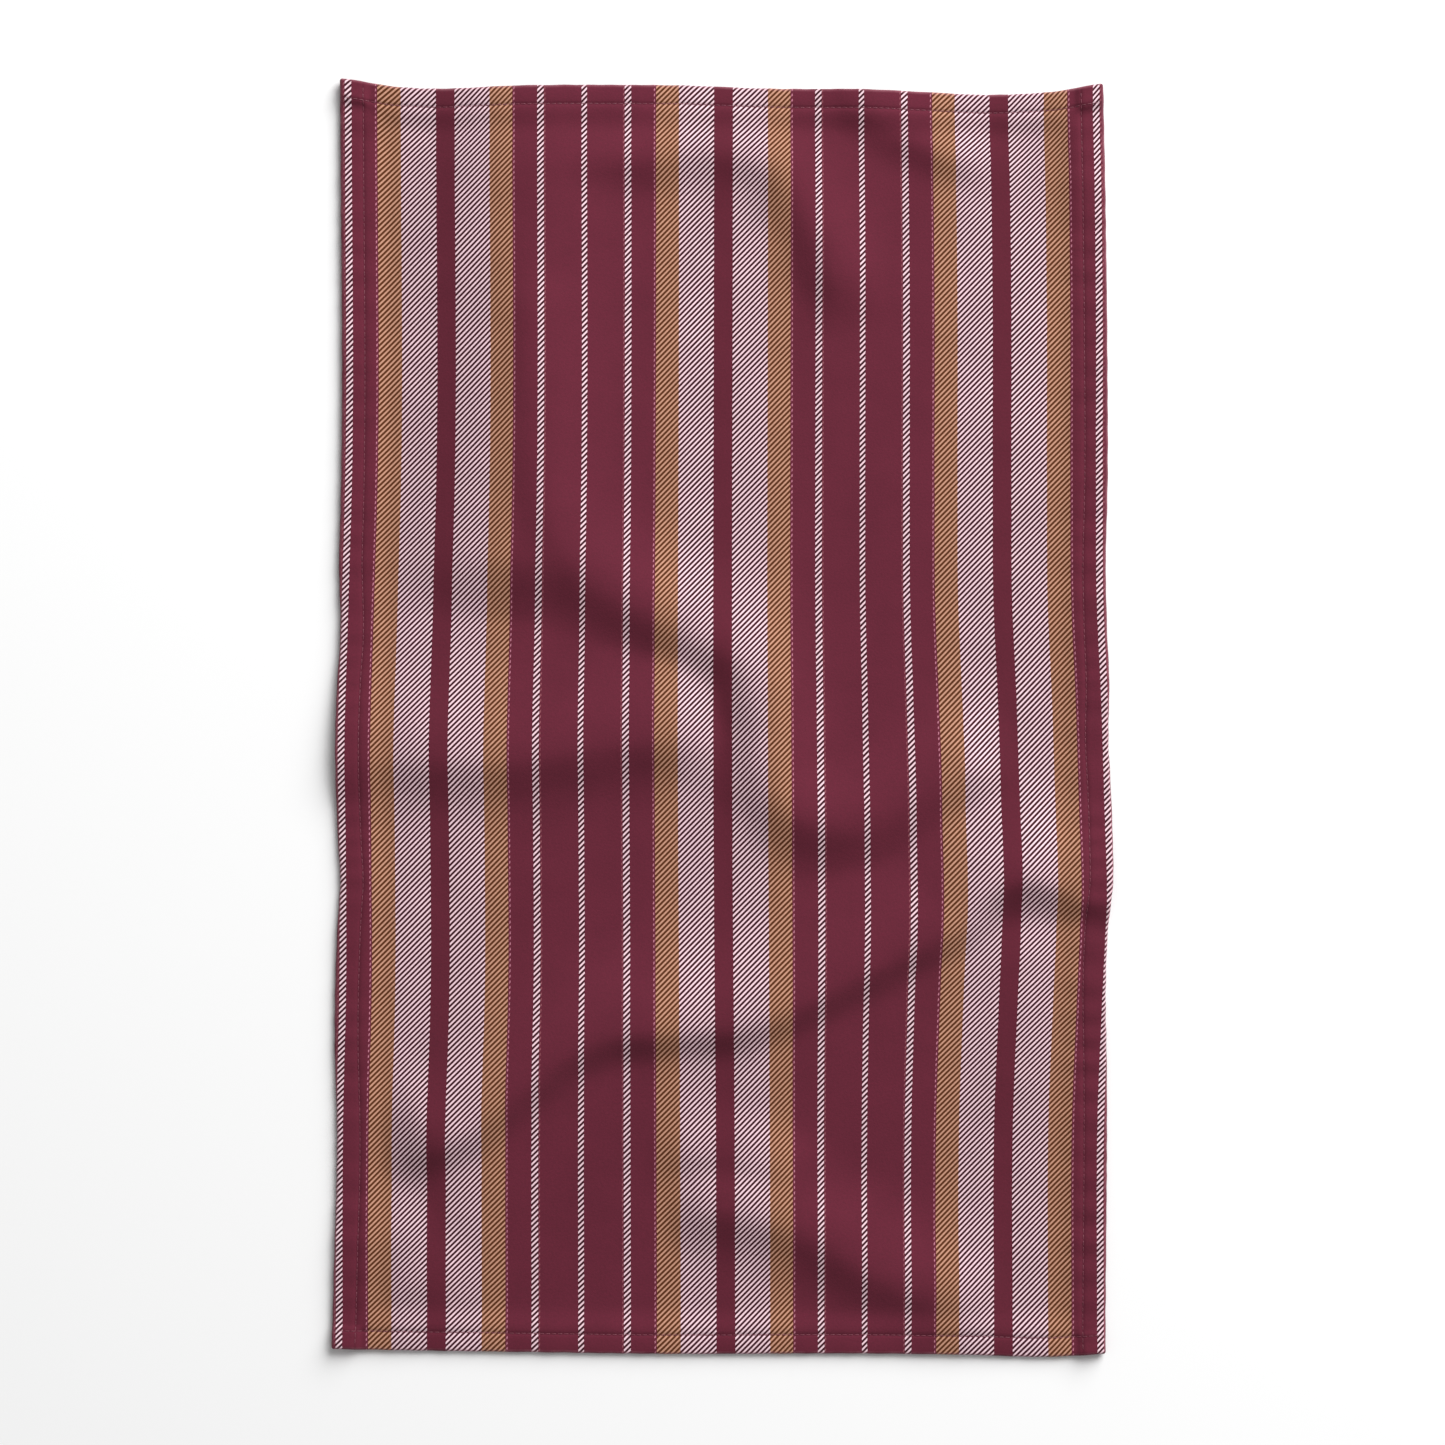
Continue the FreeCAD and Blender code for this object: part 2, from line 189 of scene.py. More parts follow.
def one_wave(x, y, height, gentle, steep, line):
    """The height of one wave: a crest with a gentle and a steep flank, fading out at both its ends."""
    points = smooth_line(line)
    ahead = np.gradient(points, axis=0)
    ahead /= np.linalg.norm(ahead, axis=1)[:, None]
    reach = np.arange(len(points)) * CREST_STEP * MM
    place = np.stack([x, y], axis=-1).reshape(-1, 2)
    result = np.zeros(len(place))
    low = points.min(axis=0) - WAVE_REACH
    high = points.max(axis=0) + WAVE_REACH
    near = np.where(((place > low) & (place < high)).all(axis=1))[0]
    for some in np.array_split(near, max(1, len(near) // 4000)):
        apart = place[some][:, None, :] - points[None, :, :]
        nearest = (apart ** 2).sum(axis=-1).argmin(axis=1)
        offset = apart[np.arange(len(some)), nearest]
        heading = ahead[nearest]
        side = heading[:, 0] * offset[:, 1] - heading[:, 1] * offset[:, 0]
        along = reach[nearest] + (heading * offset).sum(axis=1)
        distance = np.abs(side) / (np.where(side < 0, gentle, steep) * MM)
        taper = rise(along, END_FADE * MM) * rise(reach[-1] - along, END_FADE * MM)
        result[some] = height * MM * np.exp(-0.5 * distance ** 2) * taper
    return result.reshape(x.shape)


def wave_height(x, y):
    """The height of the free cloth's waves, where the higher of two that meet prevails softly."""
    x, y = np.broadcast_arrays(np.asarray(x, float), np.asarray(y, float))
    waves = [one_wave(x, y, *wave) for wave in WAVES]
    return sum(wave ** 3 for wave in waves) ** (1 / 3)


def insets(x, y):
    """How far a point lies inside the towel's side edges and end edges."""
    return HALF_WIDTH - np.abs(x), HALF_LENGTH - np.abs(y)


def hem_lift(x, y):
    """How far the waves and the curl of the left and bottom edges lift the cloth off the floor."""
    side, end = insets(x, y)
    tied = 0.55 + 0.45 * rise(np.minimum(side, end) - 4 * MM, 40 * MM)
    left_curl = 1.2 * MM * rise(16 * MM - side, 18 * MM) * (0.5 + 0.5 * rise(y + 40 * MM, 60 * MM))
    bottom_curl = 0.2 * MM * rise(13 * MM - end, 14 * MM)
    curl = np.where(x < 0, left_curl, 0.0) + np.where(y < 0, bottom_curl, 0.0)
    return wave_height(x, y) * tied + curl


def corner(x, y):
    """1 where the side hem is folded up inside the end hem, fading out over a few millimetres."""
    side, end = insets(x, y)
    return (1 - rise(side - SIDE_HEM + 2 * MM, 4 * MM)) * (1 - rise(end - END_HEM + 2 * MM, 4 * MM))


def puckers(along, seed):
    """The small gathers that a seam draws into a hem, -1 to 1, uneven in their pitch and their strength."""
    along = np.asarray(along, float)
    drift = ripple(along, 0 * along, 90 * MM, seed)
    strength = 0.65 + 0.35 * ripple(along, 0 * along, 60 * MM, seed + 1)
    return strength * np.sin(2 * math.pi * (along / PUCKER_PITCH + 0.5 * drift))


def face_height(x, y):
    """The height of the printed face above the floor."""
    side, end = insets(x, y)
    on_hem = 1 - rise(side - SIDE_HEM - 0.5 * MM, 11 * MM) * rise(end - END_HEM - 0.5 * MM, 11 * MM)
    rest = CLOTH + (HEM_HEIGHT - CLOTH) * on_hem
    rest = rest + (CORNER_HEIGHT - HEM_HEIGHT) * corner(x, y)
    furrow = 0.38 * MM * (bell(side - SIDE_SEAM, 0.9 * MM) + bell(end - END_SEAM, 0.9 * MM))
    pillow = 0.22 * MM * (bell(side - SIDE_SEAM / 2, 4 * MM) + bell(end - END_SEAM / 2, 3.5 * MM))
    gathered = np.where(x < 0, 0.36, 0.40 + 0.25 * rise(-20 * MM - y, 80 * MM)) * MM
    side_pucker = gathered * puckers(y, 3) * bell(side - SIDE_SEAM + 3 * MM, 9 * MM)
    end_pucker = 0.12 * MM * puckers(x, 5) * bell(end - END_SEAM + 2 * MM, 7 * MM)
    nap = 0.10 * MM * (1.5 + ripple(x, y, 23 * MM, 8)) + 0.05 * MM * (1.5 + ripple(x, y, 9 * MM, 9))
    return rest - furrow + pillow + side_pucker + end_pucker + nap + hem_lift(x, y)


def wander(x, y):
    """How far a point of the plan is shifted by the way that the edges wander."""
    left = along_curve(LEFT_WANDER, y) * (1 - rise(x + HALF_WIDTH, EDGE_PULL))
    right = along_curve(RIGHT_WANDER, y) * (1 - rise(HALF_WIDTH - x, EDGE_PULL))
    top = along_curve(TOP_WANDER, x) * (1 - rise(HALF_LENGTH - y, EDGE_PULL))
    bottom = along_curve(BOTTOM_WANDER, x) * (1 - rise(y + HALF_LENGTH, EDGE_PULL))
    side, end = insets(x, y)
    fray_x = 0.12 * MM * puckers(y, 11) * bell(side, 8 * MM)
    fray_y = 0.12 * MM * puckers(x, 12) * bell(end, 8 * MM)
    return left + right + fray_x, top + bottom + fray_y


def print_shift(x, y):
    """How far the print is shifted towards +X at a point of the plan."""
    left = along_curve(PRINT_LEFT, y)
    centre = along_curve(PRINT_MIDDLE, y)
    right = along_curve(PRINT_RIGHT, y)
    to_left = rise(-x, PRINT_THIRD)
    to_right = rise(x, PRINT_THIRD)
    return left * to_left + right * to_right + centre * (1 - to_left - to_right)


# ---------------------------------------------------------------- mesh making

class Patchwork:
    """Grids of points sewn into one mesh, each with its place on the flat cut cloth and on the print."""

    def __init__(self):
        self.points = []
        self.flat = []
        self.print = []
        self.faces = []

    def add(self, x, y, z, flat_x, flat_y, facing, column=0, bulge=(0, 0)):
        """A grid of points in the plan (before the edges wander) with a height and a flat place each.

        facing is the direction that the print looks at the first row's quad in that column, and
        bulge is how far the points stand out from the plan.
        """
        x, y, z, flat_x, flat_y = np.broadcast_arrays(x, y, z, flat_x, flat_y)
        shift_x, shift_y = wander(x, y)
        first = len(self.points)
        rows, columns = x.shape
        placed = np.stack([x + shift_x + bulge[0], y + shift_y + bulge[1], z], axis=-1)
        here = placed[0, column]
        looks = np.cross(placed[0, column + 1] - here, placed[1, column] - here)
        flip = np.dot(looks, facing) < 0
        self.points.extend(placed.reshape(-1, 3).tolist())
        print_x = flat_x - print_shift(x, y) + shift_x
        self.print.extend(np.stack([print_x, flat_y], axis=-1).reshape(-1, 2).tolist())
        self.flat.extend(np.stack([flat_x, flat_y], axis=-1).reshape(-1, 2).tolist())
        for row in range(rows - 1):
            start = first + row * columns
            for cell in range(columns - 1):
                a = start + cell
                quad = (a, a + 1, a + columns + 1, a + columns)
                self.faces.append(quad[::-1] if flip else quad)

    def mesh(self, name):
        """The patches as one mesh, welded where their edges meet."""
        mesh = bpy.data.meshes.new(name)
        mesh.from_pydata(self.points, [], self.faces)
        corners = np.zeros(len(mesh.loops), np.int32)
        mesh.loops.foreach_get("vertex_index", corners)
        for layer_name, places in (("print_place", self.print), ("flat_cloth", self.flat)):
            layer = mesh.uv_layers.new(name=layer_name)
            layer.data.foreach_set("uv", np.array(places)[corners].ravel())
        work = bmesh.new()
        work.from_mesh(mesh)
        bmesh.ops.remove_doubles(work, verts=work.verts, dist=1e-6)
        work.to_mesh(mesh)
        work.free()
        mesh.polygons.foreach_set("use_smooth", [True] * len(mesh.polygons))
        return mesh


def fine_to_coarse(seam, tuck, reach, half):
    """Places from one edge's fold line to the middle: fine at the seam, coarser further in."""
    near = [FOLD, 2.5 * MM, 4 * MM, 5.5 * MM, 7 * MM, 8.2 * MM]
    near += [place for place in (9.2 * MM, 10.3 * MM) if place < seam - 1.6 * MM]
    near += [seam + step * MM for step in (-1.2, -0.75, -0.4, 0.0, 0.3)]
    near += [tuck, tuck + 0.7 * MM, tuck + 1.6 * MM, tuck + 2.8 * MM, tuck + 4.3 * MM, tuck + 6.2 * MM]
    near = sorted(place for place in set(near) if place < reach)
    count = round((half - reach) / (2.9 * MM))
    return near + [reach + (half - reach) * index / count for index in range(count + 1)]


SIDE_TUCK = SIDE_HEM - TUCK_FOLD
END_TUCK = END_HEM - TUCK_FOLD
SIDE_PLACES = fine_to_coarse(SIDE_SEAM, SIDE_TUCK, 21 * MM, HALF_WIDTH)
END_PLACES = fine_to_coarse(END_SEAM, END_TUCK, 19 * MM, HALF_LENGTH)
COLUMNS = np.array([-HALF_WIDTH + p for p in SIDE_PLACES] + [HALF_WIDTH - p for p in SIDE_PLACES[-2::-1]])
ROWS = np.array([-HALF_LENGTH + p for p in END_PLACES] + [HALF_LENGTH - p for p in END_PLACES[-2::-1]])


def bottom_height(x, y):
    """The height of the back of the hems, with the furrow of the bobbin threads."""
    side, end = insets(x, y)
    in_side = bell(side - SIDE_SEAM, 0.8 * MM) * rise(end - END_HEM - 0.5 * MM, 2 * MM)
    furrow = 0.3 * MM * np.maximum(in_side, bell(end - END_SEAM, 0.8 * MM))
    pucker = 0.05 * MM * (1 + puckers(x + y, 15))
    return furrow + pucker + hem_lift(x, y)


def add_face(cloth):
    """The printed face between the fold lines."""
    x, y = np.meshgrid(COLUMNS, ROWS)
    cloth.add(x, y, face_height(x, y), x, y, (0, 0, 1))


def rim_strip(cloth, x, y, out_x, out_y):
    """The rounded outer fold along a run of edge points, from the face down to the back."""
    turn = np.linspace(0, math.pi, 9)
    x, y, out_x, out_y = (np.asarray(a, float)[:, None] for a in (x, y, out_x, out_y))
    top = face_height(x, y)
    low = bottom_height(x, y)
    bulge = FOLD * np.sin(turn)[None, :]
    z = (top + low) / 2 + (top - low) / 2 * np.cos(turn)[None, :]
    run = FOLD * turn[None, :]
    cloth.add(x + 0 * run, y + 0 * run, z, x + out_x * run, y + out_y * run,
              (out_x[0, 0], out_y[0, 0], 0), column=4, bulge=(out_x * bulge, out_y * bulge))


def add_rim(cloth):
    """The outer fold all round, with a tight round turn at each corner."""
    left, right = COLUMNS[0], COLUMNS[-1]
    low, high = ROWS[0], ROWS[-1]
    same = np.ones(len(ROWS))
    rim_strip(cloth, left * same, ROWS, -same, 0 * same)
    rim_strip(cloth, right * same, ROWS[::-1], same, 0 * same)
    same = np.ones(len(COLUMNS))
    rim_strip(cloth, COLUMNS[::-1], low * same, 0 * same, -same)
    rim_strip(cloth, COLUMNS, high * same, 0 * same, same)
    for x, y, start in ((left, high, 180), (right, high, 90), (right, low, 0), (left, low, 270)):
        angles = np.radians(np.linspace(start, start - 90, 6))
        same = np.ones(len(angles))
        rim_strip(cloth, x * same, y * same, np.cos(angles), np.sin(angles))


def tuck_section(places, hem):
    """A hem's turned cloth from the fold line to the raw edge: (inset, height, length of cloth so far)."""
    section = [(place, 0.0) for place in places if place < hem - TUCK_FOLD - 1e-6]
    for angle in np.linspace(-90, 90, 7):
        radians = math.radians(angle)
        section.append((hem - TUCK_FOLD + TUCK_FOLD * math.cos(radians),
                        TUCK_FOLD + TUCK_FOLD * math.sin(radians)))
    back = 5
    start = hem - TUCK_FOLD
    section += [(start + (RAW_EDGE - start) * step / back, 2 * TUCK_FOLD) for step in range(1, back + 1)]
    lengths = [math.pi * FOLD]
    for (u0, z0), (u1, z1) in zip(section, section[1:]):
        lengths.append(lengths[-1] + math.hypot(u1 - u0, z1 - z0))
    return [np.array(column) for column in (*zip(*section), lengths)]


def add_end_hem(cloth, sign):
    """The turned cloth behind one end, over the towel's whole width."""
    inset, height, length = tuck_section(END_PLACES, END_HEM)
    x, inset = np.meshgrid(COLUMNS, inset)
    y = sign * (HALF_LENGTH - inset)
    inner = rise(height, CLOTH)[:, None]
    low = bottom_height(x, y) * (1 - inner) + hem_lift(x, y) * inner
    flat_y = sign * (HALF_LENGTH - FOLD + length[:, None])
    cloth.add(x, y, low + height[:, None], x, flat_y, (0, 0, -1))


def add_side_hem(cloth, sign):
    """The turned cloth behind one side, whose ends are tucked up inside the end hems."""
    inset, height, length = tuck_section(SIDE_PLACES, SIDE_HEM)
    rows = ROWS[np.abs(ROWS) <= HALF_LENGTH - END_TUCK + 1e-6]
    inset, y = np.meshgrid(inset, rows)
    x = sign * (HALF_WIDTH - inset)
    inner = rise(height, CLOTH)
    low = bottom_height(x, y) * (1 - inner) + hem_lift(x, y) * inner
    flat_x = sign * (HALF_WIDTH - FOLD + length)
    cloth.add(x, y, low + height, flat_x, y, (0, 0, -1))


def add_tucked_ends(cloth, sign, end):
    """The end of a side hem where it goes up inside the end hem."""
    inset, height, length = tuck_section(SIDE_PLACES, SIDE_HEM)
    depth = np.linspace(END_HEM + 0.6 * MM, END_HEM - 4 * MM, 7)
    inset, end_inset = np.meshgrid(inset, depth)
    x = sign * (HALF_WIDTH - inset)
    y = end * (HALF_LENGTH - end_inset)
    raised = (0.1 * MM + CORNER_TUCK) * (1 - rise(end_inset - END_HEM + 1.2 * MM, 2.2 * MM))
    squeeze = 1 - 0.12 * (1 - rise(end_inset - END_HEM, 2 * MM))
    z = hem_lift(x, y) + 0.08 * MM + raised * rise(inset - FOLD + 0.3 * MM, 2 * MM) + height * squeeze
    flat_x = sign * (HALF_WIDTH - FOLD + length)
    cloth.add(x, y, z, flat_x, y, (0, 0, -1))


def make_cloth():
    """The towel's one cloth as a thin sheet: face, outer folds and the turned hems."""
    cloth = Patchwork()
    add_face(cloth)
    add_rim(cloth)
    for sign in (-1, 1):
        add_end_hem(cloth, sign)
        add_side_hem(cloth, sign)
        for end in (-1, 1):
            add_tucked_ends(cloth, sign, end)
    towel = bpy.data.objects.new("towel_cloth", cloth.mesh("towel_cloth"))
    bpy.context.scene.collection.objects.link(towel)
    return towel


def thicken(towel):
    """Give the cloth its thickness, on the side away from the print."""
    solid = towel.modifiers.new("thickness", "SOLIDIFY")
    solid.thickness = CLOTH
    solid.offset = -1
    solid.material_offset = 1
    solid.material_offset_rim = 1
    solid.use_even_offset = False
    bpy.context.view_layer.objects.active = towel
    towel.select_set(True)
    bpy.ops.object.modifier_apply(modifier="thickness")


# ---------------------------------------------------------------- sewing threads

STITCH = 3.0 * MM
THREAD = 0.30 * MM
STITCH_POINTS = 8
THREAD_SIDES = 6


def tube(name, points, radius):
    """A round thread that follows a line of points."""
    points = np.asarray(points)
    ahead = np.gradient(points, axis=0)
    ahead /= np.linalg.norm(ahead, axis=1)[:, None]
    across = np.cross(ahead, (0, 0, 1))
    across /= np.linalg.norm(across, axis=1)[:, None]
    over = np.cross(across, ahead)
    turns = np.linspace(0, 2 * math.pi, THREAD_SIDES, endpoint=False)
    rings = (points[:, None, :]
             + radius * np.cos(turns)[None, :, None] * across[:, None, :]
             + radius * np.sin(turns)[None, :, None] * over[:, None, :])
    count = len(points)
    faces = [(ring * THREAD_SIDES + side, ring * THREAD_SIDES + (side + 1) % THREAD_SIDES,
              (ring + 1) * THREAD_SIDES + (side + 1) % THREAD_SIDES, (ring + 1) * THREAD_SIDES + side)
             for ring in range(count - 1) for side in range(THREAD_SIDES)]
    faces.append(tuple(range(THREAD_SIDES))[::-1])
    faces.append(tuple((count - 1) * THREAD_SIDES + side for side in range(THREAD_SIDES)))
    mesh = bpy.data.meshes.new(name)
    mesh.from_pydata(rings.reshape(-1, 3).tolist(), [], faces)
    mesh.polygons.foreach_set("use_smooth", [True] * len(mesh.polygons))
    thread = bpy.data.objects.new(name, mesh)
    bpy.context.scene.collection.objects.link(thread)
    return thread


def seam_line(side, margin):
    """The plan of one seam, eight points to a stitch, and how far each point is through its stitch."""
    along_y = side in ("left", "right")
    half = (HALF_LENGTH if along_y else HALF_WIDTH) - margin
    stitches = round(2 * half / STITCH)
    steps = np.arange(stitches * STITCH_POINTS + 1)
    along = -half + 2 * half * steps / (stitches * STITCH_POINTS)
    through = (steps % STITCH_POINTS) / STITCH_POINTS
    sign = -1 if side in ("left", "bottom") else 1
    if along_y:
        return sign * (HALF_WIDTH - SIDE_SEAM) + 0 * along, along, through
    return along, sign * (HALF_LENGTH - END_SEAM) + 0 * along, through


def make_seam(side):
    """The two threads of one seam, each dipping into the cloth between its stitches."""
    x, y, through = seam_line(side, 3 * MM)
    shift_x, shift_y = wander(x, y)
    dip = 0.42 * MM * np.cos(math.pi * through) ** 6
    top = face_height(x, y) + 0.10 * MM - dip
    needle = tube(f"needle_stitches_{side}", np.stack([x + shift_x, y + shift_y, top], axis=1), THREAD / 2)
    margin = END_HEM + 1 * MM if side in ("left", "right") else 3 * MM
    x, y, through = seam_line(side, margin)
    shift_x, shift_y = wander(x, y)
    dip = 0.35 * MM * np.cos(math.pi * through) ** 6
    low = bottom_height(x, y) - 0.02 * MM + dip
    bobbin = tube(f"bobbin_stitches_{side}", np.stack([x + shift_x, y + shift_y, low], axis=1), THREAD / 2)
    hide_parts(f"needle_thread_{side}")
    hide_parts(f"bobbin_thread_{side}")
    return [needle, bobbin]


# ---------------------------------------------------------------- materials

class Nodes:
    """A short way to write a material's nodes."""

    def __init__(self, name):
        self.material = bpy.data.materials.new(name)
        self.material.use_nodes = True
        self.tree = self.material.node_tree
        self.shader = self.tree.nodes["Principled BSDF"]

    def node(self, kind, inputs=None, **settings):
        """A node with its settings, and its inputs by name or number as values or as other sockets."""
        node = self.tree.nodes.new(kind)
        for key, value in settings.items():
            setattr(node, key, value)
        for key, value in (inputs or {}).items():
            self.feed(node.inputs[key], value)
        return node

    def feed(self, socket, value):
        """Set a socket to a value or link it to another socket."""
        if isinstance(value, bpy.types.NodeSocket):
            self.tree.links.new(value, socket)
        else:
            socket.default_value = value

    def math(self, operation, first, second=0.0, third=0.0):
        """The result of one Math node."""
        return self.node("ShaderNodeMath", {0: first, 1: second, 2: third}, operation=operation).outputs[0]

    def noise(self, vector, scale, detail=2.0, roughness=0.5):
        """A noise value, 0 to 1."""
        return self.node("ShaderNodeTexNoise", {"Vector": vector, "Scale": scale, "Detail": detail,
                                                "Roughness": roughness}).outputs["Fac"]

    def between(self, value, low, high, to_low, to_high):
        """The value, rescaled and held within its new range."""
        node = self.node("ShaderNodeMapRange", {0: value, 1: low, 2: high, 3: to_low, 4: to_high})
        return node.outputs[0]

    def mix(self, factor, first, second, blend="MIX"):
        """Two colours mixed."""
        node = self.node("ShaderNodeMix", data_type="RGBA", blend_type=blend)
        self.feed(node.inputs[0], factor)
        self.feed(node.inputs[6], first)
        self.feed(node.inputs[7], second)
        return node.outputs[2]

    def steps(self, value, stops):
        """A colour that changes in hard steps: stops are (place, colour)."""
        ramp = self.node("ShaderNodeValToRGB", {0: value})
        ramp.color_ramp.interpolation = "CONSTANT"
        elements = ramp.color_ramp.elements
        while len(elements) < len(stops):
            elements.new(0.5)
        for element, (place, colour) in zip(elements, stops):
            element.position = place
            element.color = (*colour, 1)
        return ramp.outputs[0]


MAROON = (0.122, 0.0165, 0.0335)
DEEP_MAROON = (0.112, 0.0150, 0.0300)
WHITE = (0.86, 0.61, 0.675)
WHITE_SHADE = (0.045, 0.0065, 0.0125)
TAN = (0.55, 0.285, 0.195)
TAN_SHADE = (0.098, 0.0270, 0.0065)
PINK = (0.52, 0.20, 0.27)
DUSK = (0.27, 0.085, 0.105)

# One half of the stripes' repeat, from the middle of the dark stripe out: where each stripe begins, in
# millimetres, and the two colours of its slanted lines. A plain stripe has the same colour twice.
HALF_REPEAT = 70.3
STRIPES = [
    (0.0, DEEP_MAROON, DEEP_MAROON),
    (4.6, WHITE, WHITE_SHADE),
    (22.2, TAN, TAN_SHADE),
    (33.7, MAROON, MAROON),
    (34.1, PINK, MAROON),
    (34.8, MAROON, MAROON),
    (46.3, WHITE, WHITE_SHADE),
    (49.5, MAROON, MAROON),
    (49.8, DUSK, MAROON),
    (50.5, MAROON, MAROON),
    (68.9, WHITE, WHITE_SHADE),
]
HATCH_PITCH = 2.69
UNPRINTED = (0.80, 0.77, 0.76)

# Wear along the edges, and painted shade in the seam furrows: their two colours, and how far each reaches,
# in millimetres.
RUBBED = (0.36, 0.150, 0.185)
# The seams' colour: crushed pile, darkened further as painted shade in the furrow.
SEAM_SHADE_AND_CRUSH = (0.050, 0.0070, 0.0140)
WORN_FOLD = 1.5
SEAM_SHADE_REACH = 0.9


def printed_colour(nodes, place):
    """The stripes and their slanted lines, laid out on the flat cloth."""
    printed = nodes.node("ShaderNodeUVMap", uv_map="print_place").outputs[0]
    parts = nodes.node("ShaderNodeSeparateXYZ", {0: printed})
    fuzz = nodes.math("SUBTRACT", nodes.noise(place, 1500, 1.0), 0.5)
    across = nodes.math("MULTIPLY_ADD", parts.outputs[0], 1000, nodes.math("MULTIPLY", fuzz, 0.5))
    along = nodes.math("MULTIPLY_ADD", parts.outputs[1], 1000, nodes.math("MULTIPLY", fuzz, 0.5))
    stripe = nodes.math("DIVIDE", nodes.math("PINGPONG", across, HALF_REPEAT), HALF_REPEAT)
    light = nodes.steps(stripe, [(start / HALF_REPEAT, line) for start, line, _ in STRIPES])
    dark = nodes.steps(stripe, [(start / HALF_REPEAT, gap) for start, _, gap in STRIPES])
    slant = nodes.math("DIVIDE", nodes.math("SUBTRACT", along, across), HATCH_PITCH)
    line = nodes.math("PINGPONG", slant, 0.5)
    hatch = nodes.between(line, 0.18, 0.26, 1.0, 0.0)
    return nodes.mix(hatch, dark, light)


def inset_on_cloth(nodes, flat, axis, half):
    """How far inside an outer fold a point of the flat cloth lies, in millimetres."""
    part = nodes.node("ShaderNodeSeparateXYZ", {0: flat}).outputs[axis]
    return nodes.math("MULTIPLY", nodes.math("SUBTRACT", half, nodes.math("ABSOLUTE", part)), 1000)


def near(nodes, distance, place, reach):
    """1 at a place along a distance in millimetres, fading to 0 within the reach on both sides."""
    apart = nodes.math("ABSOLUTE", nodes.math("SUBTRACT", distance, place))
    return nodes.between(apart, 0.0, reach, 1.0, 0.0)


def wear_and_seam_shade(nodes, colour, place):
    """Wear along the edges: pile rubbed paler on the outer folds, and the seams darker, partly from crushed
    pile and partly as painted shade in the furrow.
    """
    flat = nodes.node("ShaderNodeUVMap", uv_map="flat_cloth").outputs[0]
    side = inset_on_cloth(nodes, flat, 0, HALF_WIDTH)
    end = inset_on_cloth(nodes, flat, 1, HALF_LENGTH)
    fold = nodes.math("MAXIMUM", near(nodes, side, 0.2, WORN_FOLD), near(nodes, end, 0.2, WORN_FOLD))
    seam = nodes.math("MAXIMUM", near(nodes, side, SIDE_SEAM / MM, SEAM_SHADE_REACH),
                      near(nodes, end, END_SEAM / MM, SEAM_SHADE_REACH))
    patches = nodes.between(nodes.noise(place, 140, 3.0, 0.6), 0.35, 0.65, 0.15, 0.50)
    # Painted shade: the seam furrows darkened, together with their crushed pile.
    crushed_and_shaded_seam = nodes.mix(nodes.math("MULTIPLY", seam, 0.30), colour, (*SEAM_SHADE_AND_CRUSH, 1))
    return nodes.mix(nodes.math("MULTIPLY", fold, patches), crushed_and_shaded_seam, (*RUBBED, 1))


def pile(nodes, colour, place, depth):
    """Short brushed pile: mottled in value, soft in shine, with a fine bump."""
    tuft = nodes.noise(place, 900, 3.0, 0.6)
    fibre = nodes.noise(place, 2600, 2.0, 0.6)
    patch = nodes.noise(place, 35, 2.0, 0.5)
    mottle = nodes.math("ADD", nodes.between(tuft, 0.3, 0.7, 0.90, 1.06),
                        nodes.between(fibre, 0.3, 0.7, -0.07, 0.07))
    value = nodes.math("MULTIPLY", mottle, nodes.between(patch, 0.3, 0.7, 0.95, 1.04))
    grey = nodes.node("ShaderNodeCombineColor", {0: value, 1: value, 2: value}).outputs[0]
    height = nodes.math("ADD", nodes.math("MULTIPLY", tuft, 0.7), nodes.math("MULTIPLY", fibre, 0.3))
    bump = nodes.node("ShaderNodeBump", {"Strength": 0.55, "Distance": depth, "Height": height})
    shader = nodes.shader
    nodes.feed(shader.inputs["Base Color"], nodes.mix(1.0, colour, grey, "MULTIPLY"))
    nodes.feed(shader.inputs["Normal"], bump.outputs[0])
    nodes.feed(shader.inputs["Roughness"], nodes.between(tuft, 0.3, 0.7, 0.86, 0.98))
    shader.inputs["Specular IOR Level"].default_value = 0.15
    shader.inputs["Sheen Weight"].default_value = 0.12
    shader.inputs["Sheen Roughness"].default_value = 0.45
    shader.inputs["Sheen Tint"].default_value = (1.0, 0.86, 0.89, 1)


def printed_cloth():
    """The printed face of the cloth."""
    nodes = Nodes("printed_pile")
    place = nodes.node("ShaderNodeTexCoord").outputs["Object"]
    colour = wear_and_seam_shade(nodes, printed_colour(nodes, place), place)
    pile(nodes, colour, place, 0.25 * MM)
    return nodes.material


def unprinted_cloth():
    """The white back of the cloth, where the print only shows through faintly."""
    nodes = Nodes("unprinted_pile")
    place = nodes.node("ShaderNodeTexCoord").outputs["Object"]
    colour = nodes.mix(0.09, (*UNPRINTED, 1), printed_colour(nodes, place))
    pile(nodes, colour, place, 0.3 * MM)
    return nodes.material


def thread_material():
    """Twisted polyester thread, tone on tone with the cloth."""
    nodes = Nodes("sewing_thread")
    place = nodes.node("ShaderNodeTexCoord").outputs["Object"]
    twist = nodes.noise(place, 4200, 1.0)
    colour = nodes.mix(nodes.between(twist, 0.35, 0.65, 0.0, 1.0), (0.13, 0.022, 0.040, 1),
                       (0.26, 0.055, 0.090, 1))
    bump = nodes.node("ShaderNodeBump", {"Strength": 0.4, "Distance": 0.05 * MM, "Height": twist})
    nodes.feed(nodes.shader.inputs["Base Color"], colour)
    nodes.feed(nodes.shader.inputs["Normal"], bump.outputs[0])
    nodes.shader.inputs["Roughness"].default_value = 0.5
    nodes.shader.inputs["Sheen Weight"].default_value = 0.1
    return nodes.material


